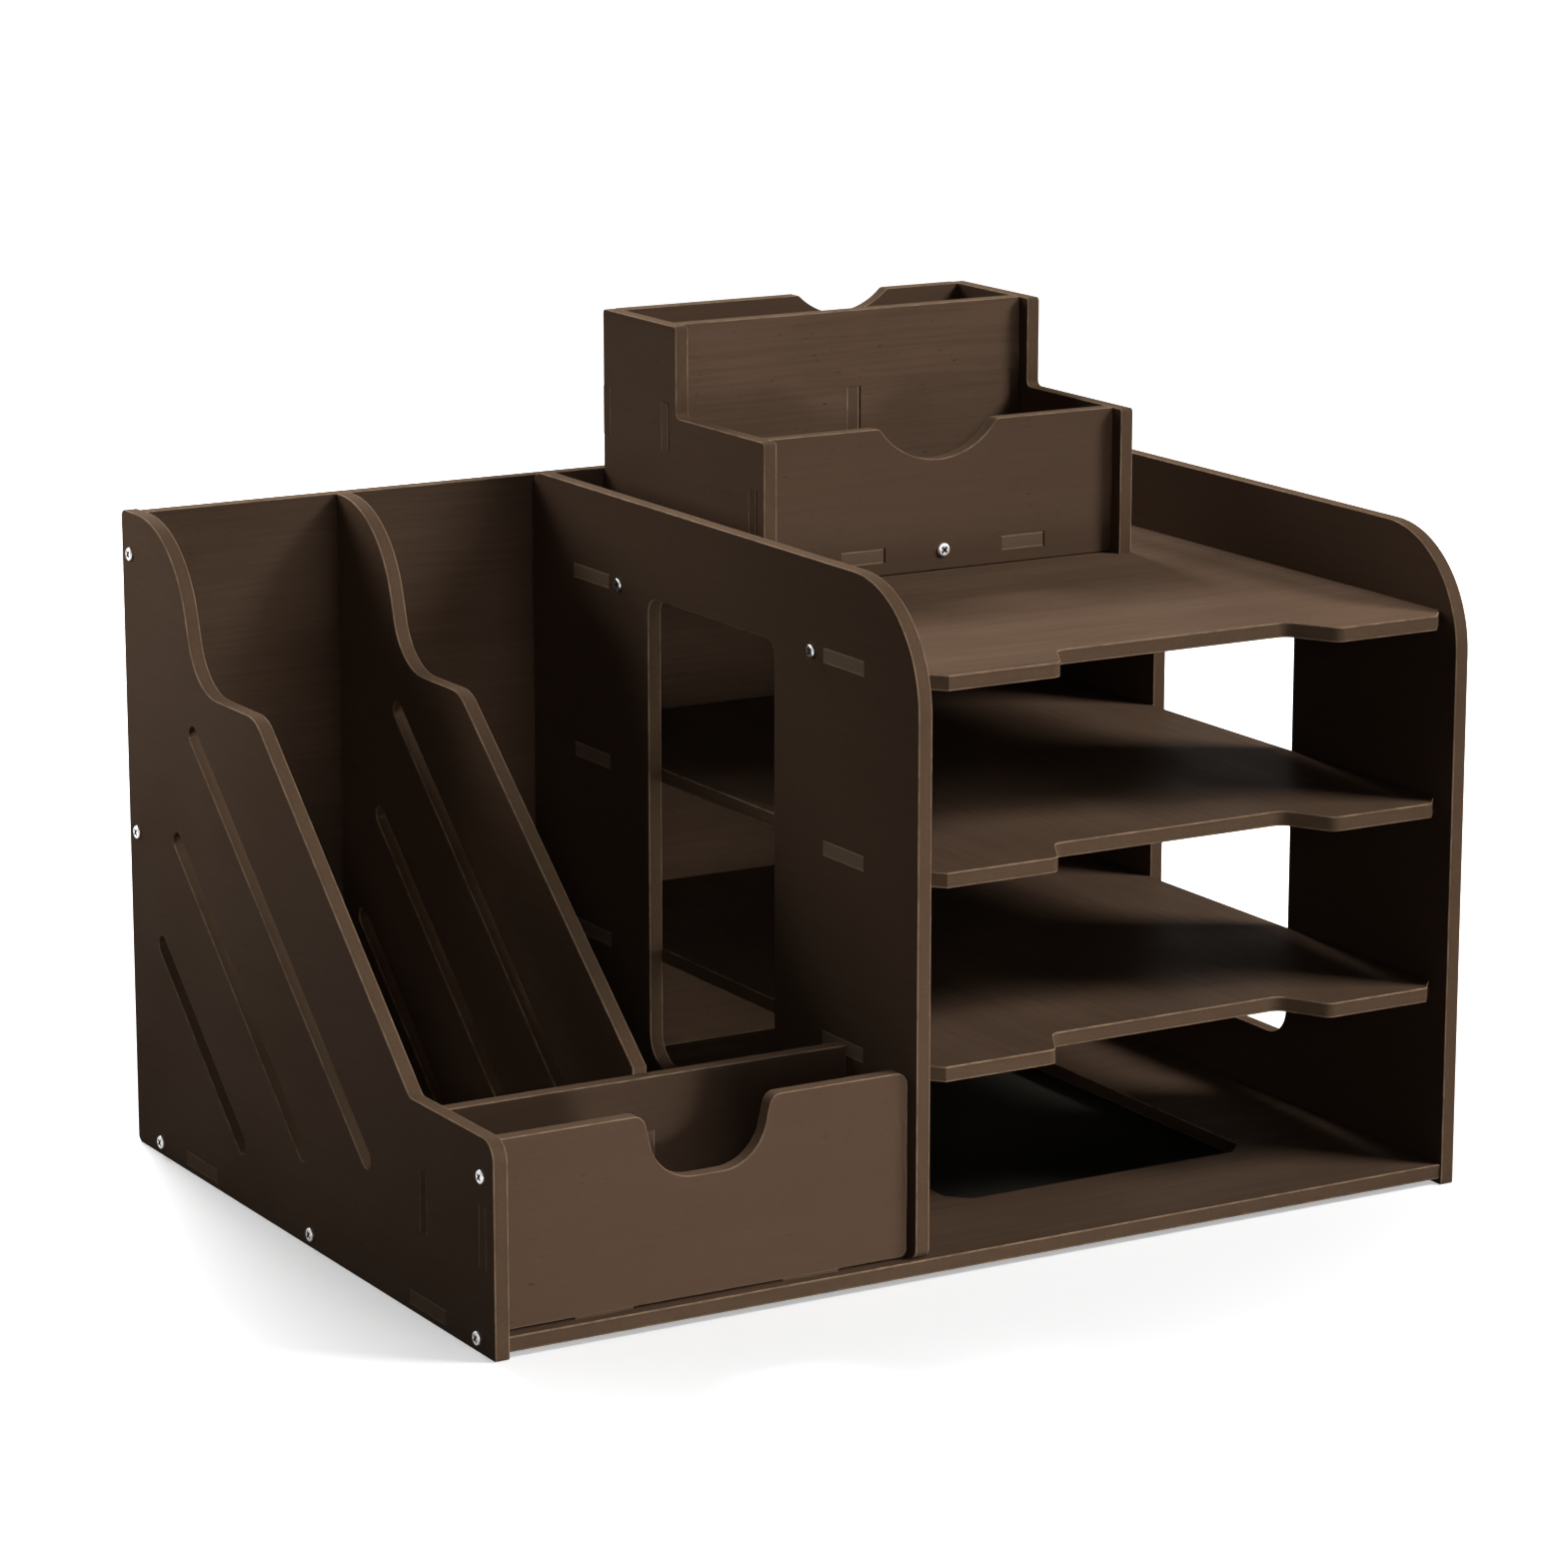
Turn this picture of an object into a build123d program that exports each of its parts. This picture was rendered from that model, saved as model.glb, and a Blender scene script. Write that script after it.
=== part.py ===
from build123d import *
import math
import os

# A desk organizer of slotted boards. On the left are two file bays behind a small tray,
# on the right three letter shelves, and a loose two-tier caddy stands on the top shelf.
# Sizes are in millimetres. X runs to the right, Y to the back and Z up. The origin is on
# the desk, under the middle of the two side panels.

# Boards and their joints
board = 6.0  # thickness of every board
edge_round = 0.4  # small round along the cut edges
slot_gap = 0.15  # play on each side of a tab in its slot
side_tab_length = 30.0  # tabs of the shelves and the base in the standing panels
side_tab_front = 38.0  # first side tab, behind the front edge of its own board
side_tab_rear = 36.5  # last side tab, in front of the back panel
foot_tab_length = 24.0  # tabs that stand in the base
foot_tab_inset = 30.0  # foot tabs, in from the ends of their board
back_tab_length = 24.0  # tabs that pass through the back panel
back_tab_drop = 34.0  # upper back tab, below the side panels' tops
back_tab_rise = 50.0  # lower back tab, above the base

# Outline of the whole rack
depth = 319.0  # side panels, front to back
back_setback = 5.5  # back panel's rear face, in from the side panels' back edges
back_corner_round = 3.0  # back corners of the side panels
front_foot_round = 1.0  # bottom front corners of the side panels
panel_front_round = 47.0  # top front corners of the middle and right panels

# Base board
base_lift = 2.5  # underside above the desk
base_setback = 1.0  # front and back edges, in from the side panels' edges

# Letter bays on the right
paper_bay = 239.0  # clear width between the middle and right panels
first_bay_height = 67.5  # clear height above the base
bay_height = 69.0  # clear height of the bays above it
top_lip = 31.0  # side panels' tops above the top shelf
shelf_setback = 3.0  # shelves' front lobes, behind the side panels' front edges
shelf_corner_cut_x = 7.5  # cut front corners beside the panels, across
shelf_corner_cut_y = 8.5  # and front to back
recess_depth = 19.5  # finger recess in the shelves' front edges
recess_left = 56.7  # lobe left of the recess
recess_right = 54.5  # lobe right of it
recess_slant = 11.0  # how far each end of the recess leans in
recess_lip_round = 5.0  # rounds beside the mouth
recess_root_round = 6.0  # rounds at the back

# Window in the middle and right panels
window_front = 108.0  # from the side panels' front edges
window_rear = 110.5  # from the side panels' back edges
window_rise = 26.5  # above the base
window_drop = 35.0  # below the side panels' tops
window_low_round = 12.0
window_high_round = 7.0

# Cut-out in the base under the letter bays
cutout_front = 57.0  # from the side panels' front edges
cutout_rear = 69.0  # from the side panels' back edges
cutout_left = 46.0  # from the middle panel
cutout_right = 53.5  # from the right panel
cutout_corner = 8.0  # cut corners

# Middle panel
middle_setback = 2.0  # front edge, behind the side panels' front edges
middle_rise = 1.7  # top, above the side panels' tops
middle_back_round = 8.0  # top back corner
middle_foot_round = 4.0  # bottom front corner

# File bays on the left
file_bay = 173.0  # clear width between the left and middle panels
tray_panel_height = 82.5  # panel's edge beside the tray
tray_corner_round = 8.0  # top front corner of that edge
slope_foot_gap = 7.5  # foot of the slope, behind the tray
slope_foot_round = 4.0
slope_top_rear = 123.0  # top of the slope, from the back edge
divider_slope_top_rear = 119.0  # the same on the file divider
slope_top_round = 16.0
step_drop = 62.5  # level step, below the panel's top
riser_foot_rear = 68.0  # foot of the upper curve, from the back edge
riser_foot_round = 26.0
riser_top_rear = 50.0  # top of the upper curve, from the back edge
riser_top_round = 46.0

# Long slanted slots in the left panel and the file divider
long_slots = 3
long_slot_width = 8.0
long_slot_upper_rear = 64.7  # first upper end's centre, from the back edge
long_slot_upper_drop = 80.7  # and below the panel's top
long_slot_upper_step_y = 17.5  # each next upper end, further back
long_slot_upper_step_z = 46.5  # and lower
long_slot_lower_front = 104.7  # first lower end's centre, from the front edge
long_slot_lower_rise = 49.2  # and above the desk
long_slot_lower_step_y = 56.4  # each next lower end, further back
long_slot_lower_step_z = 12.1  # and lower

# Tray in front of the file bays
tray_setback = 6.0  # front wall, behind the side panels' front edges
tray_inside = 41.5  # clear depth between its two walls
tray_front_height = 73.0  # front wall above the base
tray_back_height = 71.5  # back wall above the base
tray_side_gap = 1.5  # front wall's right end, clear of the middle panel
tray_top_round = 5.0  # its top right corner
tray_bottom_round = 3.0  # its bottom right corner
tray_tab_rise = 24.5  # side tabs of both walls, above the base
tray_tab_length = 24.0
tray_foot_gap = 0.8  # shadow gap between both walls and the base
tray_notch_mouth = 54.0  # finger notch: width at the top
tray_notch_floor = 42.0  # width at the bottom, before rounding
tray_notch_depth = 26.0
tray_notch_root_round = 19.0
tray_notch_lip_round = 5.0
divider_tab_rise = 39.5  # file divider's tab in the tray's back wall, above the base
divider_tab_length = 11.0

# Caddy on the top shelf
caddy_width = 175.5
caddy_depth = 133.0
caddy_offset = -3.9  # its centre, beside the centre of the letter bay
caddy_rear_gap = 0.3  # clear of the back panel
caddy_low_depth = 71.5  # depth of the lower tier
caddy_low_height = 60.3
caddy_high_height = 97.6
caddy_step_round = 2.5  # inner corner between the tiers
caddy_corner_round = 1.5  # outer corners of the side boards
caddy_wall_setback = 6.3  # front and step walls, behind the side boards' edges
caddy_floor_lift = 5.5  # floor's underside above the shelf
caddy_tab_length = 20.0
caddy_foot_gap = 0.5  # shadow gap between its front and back walls and the shelf
caddy_slot_play = 0.7  # extra play at one side of its tabs, which shows as a dark line
caddy_floor_tab_inset = 33.5  # floor's tabs, in from the ends of its front and back edges
caddy_side_tab_inset = 25.0  # floor's tabs in the side boards
caddy_front_tab_rise = 20.5  # front wall's side tabs, above the shelf
caddy_high_tab_rise = 45.5  # step wall's, back wall's and divider's tabs, above the shelf
caddy_step_foot_inset = 20.0  # step wall's tabs in the floor
caddy_divider_height = 68.0  # above the floor
caddy_notch_width = 56.0  # round finger notch in the front wall
caddy_notch_depth = 14.4
caddy_notch_offset = -2.4  # its centre, beside the caddy's centre
caddy_back_notch_width = 43.4  # round notch in the back wall
caddy_back_notch_depth = 9.0
caddy_back_notch_offset = 24.7
caddy_notch_lip_round = 2.0

# Screws
screw_diameter = 2.9
screw_length = 18.0  # under the head
screw_point = 3.0  # tapered end
screw_tip_diameter = 0.6
head_diameter = 5.4
head_height = 1.3
head_round = 0.7
recess_cross_length = 3.3  # cross-shaped recess in the head
recess_cross_width = 1.0
recess_cross_depth = 0.9
bore_gap = 0.05  # between a screw and its hole, all round
bore_spare = 1.0  # hole beyond the screw's tip
base_screw_front = 13.5  # base screws: first, from the side panels' front edges
base_screw_rear = 24.0  # and last, from their back edges
back_screw_drop = 17.0  # back panel's upper screw, below the side panels' tops
back_screw_rise = 123.5  # and its lower screw, above the base
tray_screw_rise = 59.2  # tray front wall's screw, above the base
shelf_screw_gap = 8.5  # top shelf's screws, beside its tabs

# Where everything is
cut_spare = 1.0  # a cutter's reach past the faces it cuts
width = file_bay + paper_bay + 3 * board
left = -width / 2
right = width / 2
left_inner = left + board
right_inner = right - board
middle_left = left_inner + file_bay
middle_right = middle_left + board
front = -depth / 2
back = depth / 2
back_rear = back - back_setback
back_front = back_rear - board
base_top = base_lift + board
shelf_pitch = bay_height + board
lower_shelf_z = base_top + first_bay_height
upper_shelf_z = lower_shelf_z + shelf_pitch
top_shelf_z = upper_shelf_z + shelf_pitch
top_shelf_top = top_shelf_z + board
height = top_shelf_top + top_lip
base_front = front + base_setback
base_back = back - base_setback
shelf_front = front + shelf_setback
middle_front = front + middle_setback
middle_top = height + middle_rise
bay_centre = (middle_right + right_inner) / 2
tray_front = front + tray_setback
tray_back = tray_front + board + tray_inside
tray_rear = tray_back + board
tray_right = middle_left - tray_side_gap
tray_centre = (left_inner + tray_right) / 2
divider_left = (left_inner + middle_left - board) / 2

caddy_left = bay_centre + caddy_offset - caddy_width / 2
caddy_right = caddy_left + caddy_width
caddy_in_left = caddy_left + board
caddy_in_right = caddy_right - board
caddy_centre = (caddy_left + caddy_right) / 2
caddy_back = back_front - caddy_rear_gap
caddy_front = caddy_back - caddy_depth
caddy_step = caddy_front + caddy_low_depth
caddy_front_wall_y = caddy_front + caddy_wall_setback
caddy_step_wall_y = caddy_step + caddy_wall_setback
caddy_back_wall_y = caddy_back - board
caddy_floor_front = caddy_front_wall_y + board
caddy_rear_front = caddy_step_wall_y + board
caddy_low_top = top_shelf_top + caddy_low_height
caddy_high_top = top_shelf_top + caddy_high_height
caddy_floor_z = top_shelf_top + caddy_floor_lift
caddy_floor_top = caddy_floor_z + board


# Planes that boards are cut in. A face drawn on one is thickened by one board.
def side_plane(x):
    return Plane.YZ.offset(x)


def front_plane(y):
    return Plane.XZ.offset(-y - board)


def flat_plane(z):
    return Plane.XY.offset(z)


def rectangle(u_low, u_high, v_low, v_high):
    centre = Pos((u_low + u_high) / 2, (v_low + v_high) / 2)
    return centre * Rectangle(u_high - u_low, v_high - v_low)


def slot(u_low, u_high, v_low, v_high, play_low=0.0, play_high=0.0):
    gap = slot_gap
    return rectangle(u_low - gap - play_low, u_high + gap + play_high, v_low - gap, v_high + gap)


def outline(points, radii):
    return make_face(FilletPolyline(*points, radius=radii, close=True))


def slab(plane, face, spare=0.0):
    return extrude(plane.offset(-spare) * face, board + 2 * spare)


def make_board(plane, face, tabs=(), slots=(), bores=()):
    solid = slab(plane, face)
    faces = solid.faces().sort_by(Axis(plane.origin, plane.z_dir))
    solid = fillet(faces[0].edges() + faces[-1].edges(), edge_round)
    for tab in tabs:
        solid += slab(plane, tab)
    for hole in slots:
        solid -= slab(plane, hole, cut_spare)
    for hole in bores:
        solid -= hole
    return solid


# A tab starts inside its board, past the board's rounded edge.
def tab_root():
    return 2 * edge_round


def end_tabs(low, high, inset, length):
    first = (low + inset, low + inset + length)
    last = (high - inset - length, high - inset)
    return [first, last]


# Spans of the tabs. The board with the tabs and the board with the slots both use them.
def side_tab_spans(board_front):
    first = (board_front + side_tab_front, board_front + side_tab_front + side_tab_length)
    last = (back_front - side_tab_rear - side_tab_length, back_front - side_tab_rear)
    return [first, last]


def back_tab_spans():
    upper = (height - back_tab_drop - back_tab_length, height - back_tab_drop)
    lower = (base_top + back_tab_rise, base_top + back_tab_rise + back_tab_length)
    return [upper, lower]


def foot_spans(low, high):
    return end_tabs(low, high, foot_tab_inset, foot_tab_length)


def tray_tab_span():
    return (base_top + tray_tab_rise, base_top + tray_tab_rise + tray_tab_length)


def divider_tab_span():
    return (base_top + divider_tab_rise, base_top + divider_tab_rise + divider_tab_length)


def caddy_floor_tab_spans():
    return end_tabs(caddy_in_left, caddy_in_right, caddy_floor_tab_inset, caddy_tab_length)


def caddy_side_tab_spans():
    return end_tabs(caddy_floor_front, caddy_back_wall_y, caddy_side_tab_inset, caddy_tab_length)


def caddy_step_foot_spans():
    return end_tabs(caddy_in_left, caddy_in_right, caddy_step_foot_inset, caddy_tab_length)


def caddy_front_tab_span():
    low = top_shelf_top + caddy_front_tab_rise
    return (low, low + caddy_tab_length)


def caddy_high_tab_span():
    low = top_shelf_top + caddy_high_tab_rise
    return (low, low + caddy_tab_length)


# Screws, each given by where its head sits and the way it points
def left_screws():
    return [(Vector(left, y, z), Vector(1, 0, 0)) for y, z in side_screw_places() + tray_screw_places()]


def right_screws():
    places = side_screw_places() + shelf_screw_places()
    return [(Vector(right, y, z), Vector(-1, 0, 0)) for y, z in places]


def middle_screws():
    return [(Vector(middle_left, y, z), Vector(1, 0, 0)) for y, z in shelf_screw_places()]


def caddy_screws():
    return [(Vector(caddy_centre, caddy_front_wall_y, caddy_floor_z + board / 2), Vector(0, 1, 0))]


def side_screw_places():
    base_z = base_lift + board / 2
    base_first = front + base_screw_front
    base_last = back - base_screw_rear
    base_middle = (base_first + base_last) / 2
    back_y = back_front + board / 2
    places = [(y, base_z) for y in (base_first, base_middle, base_last)]
    places.append((back_y, height - back_screw_drop))
    places.append((back_y, base_top + back_screw_rise))
    return places


def tray_screw_places():
    return [(tray_front + board / 2, base_top + tray_screw_rise)]


def shelf_screw_places():
    z = top_shelf_z + board / 2
    first, last = side_tab_spans(shelf_front)
    return [(first[1] + shelf_screw_gap, z), (last[0] - shelf_screw_gap, z)]


def aimed(solid, place):
    point, direction = place
    return Plane(origin=point, z_dir=direction).location * solid


def bores(places):
    low = (Align.CENTER, Align.CENTER, Align.MIN)
    hole = Cylinder(screw_diameter / 2 + bore_gap, screw_length + bore_spare + cut_spare, align=low)
    return [aimed(Pos(0, 0, -cut_spare) * hole, place) for place in places]


def screw():
    low = (Align.CENTER, Align.CENTER, Align.MIN)
    high = (Align.CENTER, Align.CENTER, Align.MAX)
    head = Cylinder(head_diameter / 2, head_height, align=high)
    head = fillet(head.edges().sort_by(Axis.Z)[0], head_round)
    for turn in (45, 135):
        arm = Box(recess_cross_length, recess_cross_width, recess_cross_depth, align=low)
        head -= Pos(0, 0, -head_height) * Rot(0, 0, turn) * arm
    straight = screw_length - screw_point
    shank = Cylinder(screw_diameter / 2, straight, align=low)
    point = Cone(screw_diameter / 2, screw_tip_diameter / 2, screw_point, align=low)
    return head + shank + Pos(0, 0, straight) * point


def screw_group(places):
    return Compound(children=[aimed(screw(), place) for place in places])


# Side view of the left panel: low beside the tray, then a slope, a level step and a curve
def file_panel_face(slope_foot, slope_rear):
    step_height = height - step_drop
    points = [
        (front, 0),
        (front, tray_panel_height),
        (slope_foot, tray_panel_height),
        (back - slope_rear, step_height),
        (back - riser_foot_rear, step_height),
        (back - riser_top_rear, height),
        (back, height),
        (back, 0),
    ]
    radii = [
        front_foot_round,
        tray_corner_round,
        slope_foot_round,
        slope_top_round,
        riser_foot_round,
        riser_top_round,
        back_corner_round,
        back_corner_round,
    ]
    return outline(points, radii)


def long_slot_faces():
    faces = []
    for i in range(long_slots):
        upper_y = back - long_slot_upper_rear + i * long_slot_upper_step_y
        upper_z = height - long_slot_upper_drop - i * long_slot_upper_step_z
        lower_y = front + long_slot_lower_front + i * long_slot_lower_step_y
        lower_z = long_slot_lower_rise - i * long_slot_lower_step_z
        length = math.hypot(upper_y - lower_y, upper_z - lower_z)
        angle = math.degrees(math.atan2(upper_z - lower_z, upper_y - lower_y))
        centre = Pos((upper_y + lower_y) / 2, (upper_z + lower_z) / 2)
        faces.append(centre * SlotCenterToCenter(length, long_slot_width, rotation=angle))
    return faces


def slotted(face):
    for hole in long_slot_faces():
        face -= hole
    return face


def base_side_slots():
    return [slot(y0, y1, base_lift, base_top) for y0, y1 in side_tab_spans(base_front)]


def shelf_side_slots():
    spans = side_tab_spans(shelf_front)
    levels = (lower_shelf_z, upper_shelf_z, top_shelf_z)
    return [slot(y0, y1, z, z + board) for z in levels for y0, y1 in spans]


def tray_side_slot(y):
    z0, z1 = tray_tab_span()
    return slot(y, y + board, z0, z1)


def left_side_panel():
    face = slotted(file_panel_face(tray_rear + slope_foot_gap, slope_top_rear))
    slots = base_side_slots() + [tray_side_slot(tray_front), tray_side_slot(tray_back)]
    return make_board(side_plane(left), face, slots=slots, bores=bores(left_screws()))


def file_divider():
    room = rectangle(tray_rear, back_front, base_top, height)
    face = slotted(file_panel_face(tray_rear, divider_slope_top_rear) & room)
    z0, z1 = divider_tab_span()
    tabs = [rectangle(tray_back, tray_rear + tab_root(), z0, z1)]
    for z0, z1 in back_tab_spans():
        tabs.append(rectangle(back_front - tab_root(), back_rear, z0, z1))
    for y0, y1 in foot_spans(tray_rear, back_front):
        tabs.append(rectangle(y0, y1, base_lift, base_top + tab_root()))
    return make_board(side_plane(divider_left), face, tabs)


def window_face():
    y0 = front + window_front
    y1 = back - window_rear
    z0 = base_top + window_rise
    z1 = height - window_drop
    low = window_low_round
    high = window_high_round
    return outline([(y0, z0), (y1, z0), (y1, z1), (y0, z1)], [low, low, high, high])


def middle_panel():
    points = [
        (middle_front, base_top),
        (middle_front, middle_top),
        (back_front, middle_top),
        (back_front, base_top),
    ]
    radii = [middle_foot_round, panel_front_round, middle_back_round, 0]
    face = outline(points, radii) - window_face()
    tabs = []
    for z0, z1 in back_tab_spans():
        tabs.append(rectangle(back_front - tab_root(), back_rear, z0, z1))
    for y0, y1 in foot_spans(middle_front, back_front):
        tabs.append(rectangle(y0, y1, base_lift, base_top + tab_root()))
    slots = shelf_side_slots() + [tray_side_slot(tray_back)]
    return make_board(side_plane(middle_left), face, tabs, slots, bores(middle_screws()))


def right_side_panel():
    points = [(front, 0), (front, height), (back, height), (back, 0)]
    radii = [front_foot_round, panel_front_round, back_corner_round, back_corner_round]
    face = outline(points, radii) - window_face()
    slots = shelf_side_slots() + base_side_slots()
    return make_board(side_plane(right_inner), face, slots=slots, bores=bores(right_screws()))


def back_panel():
    face = rectangle(left_inner, right_inner, base_top, height)
    tabs = []
    for x0, x1 in foot_spans(left_inner, right_inner):
        tabs.append(rectangle(x0, x1, base_lift, base_top + tab_root()))
    slots = []
    for x in (divider_left, middle_left):
        for z0, z1 in back_tab_spans():
            slots.append(slot(x, x + board, z0, z1))
    return make_board(front_plane(back_front), face, tabs, slots, bores(left_screws() + right_screws()))


def base_cutout():
    x0 = middle_right + cutout_left
    x1 = right_inner - cutout_right
    y0 = front + cutout_front
    y1 = back - cutout_rear
    c = cutout_corner
    points = [
        (x0 + c, y0),
        (x1 - c, y0),
        (x1, y0 + c),
        (x1, y1 - c),
        (x1 - c, y1),
        (x0 + c, y1),
        (x0, y1 - c),
        (x0, y0 + c),
    ]
    return make_face(Polyline(*points, close=True))


def base_board():
    face = rectangle(left_inner, right_inner, base_front, base_back) - base_cutout()
    tabs = []
    for y0, y1 in side_tab_spans(base_front):
        tabs.append(rectangle(left, left_inner + tab_root(), y0, y1))
        tabs.append(rectangle(right_inner - tab_root(), right, y0, y1))
    slots = []
    for y0, y1 in foot_spans(middle_front, back_front):
        slots.append(slot(middle_left, middle_right, y0, y1))
    for y0, y1 in foot_spans(tray_rear, back_front):
        slots.append(slot(divider_left, divider_left + board, y0, y1))
    for x0, x1 in foot_spans(left_inner, tray_right):
        slots.append(slot(x0, x1, tray_front, tray_front + board))
    for x0, x1 in foot_spans(left_inner, middle_left):
        slots.append(slot(x0, x1, tray_back, tray_rear))
    for x0, x1 in foot_spans(left_inner, right_inner):
        slots.append(slot(x0, x1, back_front, back_rear))
    return make_board(flat_plane(base_lift), face, tabs, slots, bores(left_screws() + right_screws()))


def shelf_face():
    recess_y = shelf_front + recess_depth
    recess_start = middle_right + recess_left
    recess_end = right_inner - recess_right
    points = [
        (middle_right, back_front),
        (middle_right, shelf_front + shelf_corner_cut_y),
        (middle_right + shelf_corner_cut_x, shelf_front),
        (recess_start, shelf_front),
        (recess_start + recess_slant, recess_y),
        (recess_end - recess_slant, recess_y),
        (recess_end, shelf_front),
        (right_inner - shelf_corner_cut_x, shelf_front),
        (right_inner, shelf_front + shelf_corner_cut_y),
        (right_inner, back_front),
    ]
    lip = recess_lip_round
    root = recess_root_round
    return outline(points, [0, 0, 0, lip, root, root, lip, 0, 0, 0])


def shelf(z, holes=()):
    tabs = []
    for y0, y1 in side_tab_spans(shelf_front):
        tabs.append(rectangle(middle_left, middle_right + tab_root(), y0, y1))
        tabs.append(rectangle(right_inner - tab_root(), right, y0, y1))
    return make_board(flat_plane(z), shelf_face(), tabs, bores=holes)


# Front view of the tray's front wall, with the bowl-shaped notch in its top edge
def tray_front_face():
    top = base_top + tray_front_height
    foot = base_top + tray_foot_gap
    floor = top - tray_notch_depth
    points = [
        (left_inner, foot),
        (left_inner, top),
        (tray_centre - tray_notch_mouth / 2, top),
        (tray_centre - tray_notch_floor / 2, floor),
        (tray_centre + tray_notch_floor / 2, floor),
        (tray_centre + tray_notch_mouth / 2, top),
        (tray_right, top),
        (tray_right, foot),
    ]
    lip = tray_notch_lip_round
    root = tray_notch_root_round
    return outline(points, [0, 0, lip, root, root, lip, tray_top_round, tray_bottom_round])


def tray_front_wall():
    z0, z1 = tray_tab_span()
    tabs = [rectangle(left, left_inner + tab_root(), z0, z1)]
    for x0, x1 in foot_spans(left_inner, tray_right):
        tabs.append(rectangle(x0, x1, base_lift, base_top + tab_root()))
    return make_board(front_plane(tray_front), tray_front_face(), tabs, bores=bores(left_screws()))


def tray_back_wall():
    face = rectangle(left_inner, middle_left, base_top + tray_foot_gap, base_top + tray_back_height)
    z0, z1 = tray_tab_span()
    tabs = [
        rectangle(left, left_inner + tab_root(), z0, z1),
        rectangle(middle_left - tab_root(), middle_right, z0, z1),
    ]
    for x0, x1 in foot_spans(left_inner, middle_left):
        tabs.append(rectangle(x0, x1, base_lift, base_top + tab_root()))
    z0, z1 = divider_tab_span()
    slots = [slot(divider_left, divider_left + board, z0, z1)]
    return make_board(front_plane(tray_back), face, tabs, slots)


def caddy_side(x):
    points = [
        (caddy_front, top_shelf_top),
        (caddy_front, caddy_low_top),
        (caddy_step, caddy_low_top),
        (caddy_step, caddy_high_top),
        (caddy_back, caddy_high_top),
        (caddy_back, top_shelf_top),
    ]
    corner = caddy_corner_round
    face = outline(points, [0, corner, caddy_step_round, corner, corner, 0])
    z0, z1 = caddy_front_tab_span()
    play = caddy_slot_play
    slots = [slot(caddy_front_wall_y, caddy_front_wall_y + board, z0, z1, play_low=play)]
    z0, z1 = caddy_high_tab_span()
    slots.append(slot(caddy_step_wall_y, caddy_step_wall_y + board, z0, z1, play_low=play))
    slots.append(slot(caddy_back_wall_y, caddy_back, z0, z1))
    for y0, y1 in caddy_side_tab_spans():
        slots.append(slot(y0, y1, caddy_floor_z, caddy_floor_top))
    return make_board(side_plane(x), face, slots=slots)


def caddy_wall_tabs(span):
    z0, z1 = span
    return [
        rectangle(caddy_left, caddy_in_left + tab_root(), z0, z1),
        rectangle(caddy_in_right - tab_root(), caddy_right, z0, z1),
    ]


def caddy_floor_slots():
    spans = caddy_floor_tab_spans()
    play = caddy_slot_play
    return [slot(x0, x1, caddy_floor_z, caddy_floor_top, play_high=play) for x0, x1 in spans]


def caddy_divider_slot():
    z0, z1 = caddy_high_tab_span()
    half = board / 2
    return slot(caddy_centre - half, caddy_centre + half, z0, z1, play_high=caddy_slot_play)


# Front view of a caddy wall whose top edge has a round notch
def notched_face(top, centre, notch_width, notch_depth):
    radius = (notch_width**2 / 4 + notch_depth**2) / (2 * notch_depth)
    face = rectangle(caddy_in_left, caddy_in_right, top_shelf_top + caddy_foot_gap, top)
    face -= Pos(centre, top + radius - notch_depth) * Circle(radius)
    lips = face.vertices().group_by(Axis.Y)[-1].sort_by(Axis.X)[1:-1]
    return fillet(lips, caddy_notch_lip_round)


def caddy_front_wall():
    centre = caddy_centre + caddy_notch_offset
    face = notched_face(caddy_low_top, centre, caddy_notch_width, caddy_notch_depth)
    tabs = caddy_wall_tabs(caddy_front_tab_span())
    return make_board(front_plane(caddy_front_wall_y), face, tabs, caddy_floor_slots(), bores(caddy_screws()))


def caddy_step_wall():
    face = rectangle(caddy_in_left, caddy_in_right, caddy_floor_top, caddy_high_top)
    tabs = caddy_wall_tabs(caddy_high_tab_span())
    for x0, x1 in caddy_step_foot_spans():
        tabs.append(rectangle(x0, x1, caddy_floor_z, caddy_floor_top + tab_root()))
    return make_board(front_plane(caddy_step_wall_y), face, tabs, [caddy_divider_slot()])


def caddy_back_wall():
    centre = caddy_centre + caddy_back_notch_offset
    face = notched_face(caddy_high_top, centre, caddy_back_notch_width, caddy_back_notch_depth)
    tabs = caddy_wall_tabs(caddy_high_tab_span())
    slots = caddy_floor_slots() + [caddy_divider_slot()]
    return make_board(front_plane(caddy_back_wall_y), face, tabs, slots)


def caddy_floor():
    face = rectangle(caddy_in_left, caddy_in_right, caddy_floor_front, caddy_back_wall_y)
    tabs = []
    for x0, x1 in caddy_floor_tab_spans():
        tabs.append(rectangle(x0, x1, caddy_front_wall_y, caddy_floor_front + tab_root()))
        tabs.append(rectangle(x0, x1, caddy_back_wall_y - tab_root(), caddy_back_wall_y + board))
    for y0, y1 in caddy_side_tab_spans():
        tabs.append(rectangle(caddy_left, caddy_in_left + tab_root(), y0, y1))
        tabs.append(rectangle(caddy_in_right - tab_root(), caddy_right, y0, y1))
    slots = []
    for x0, x1 in caddy_step_foot_spans():
        slots.append(slot(x0, x1, caddy_step_wall_y, caddy_rear_front))
    return make_board(flat_plane(caddy_floor_z), face, tabs, slots, bores(caddy_screws()))


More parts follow.
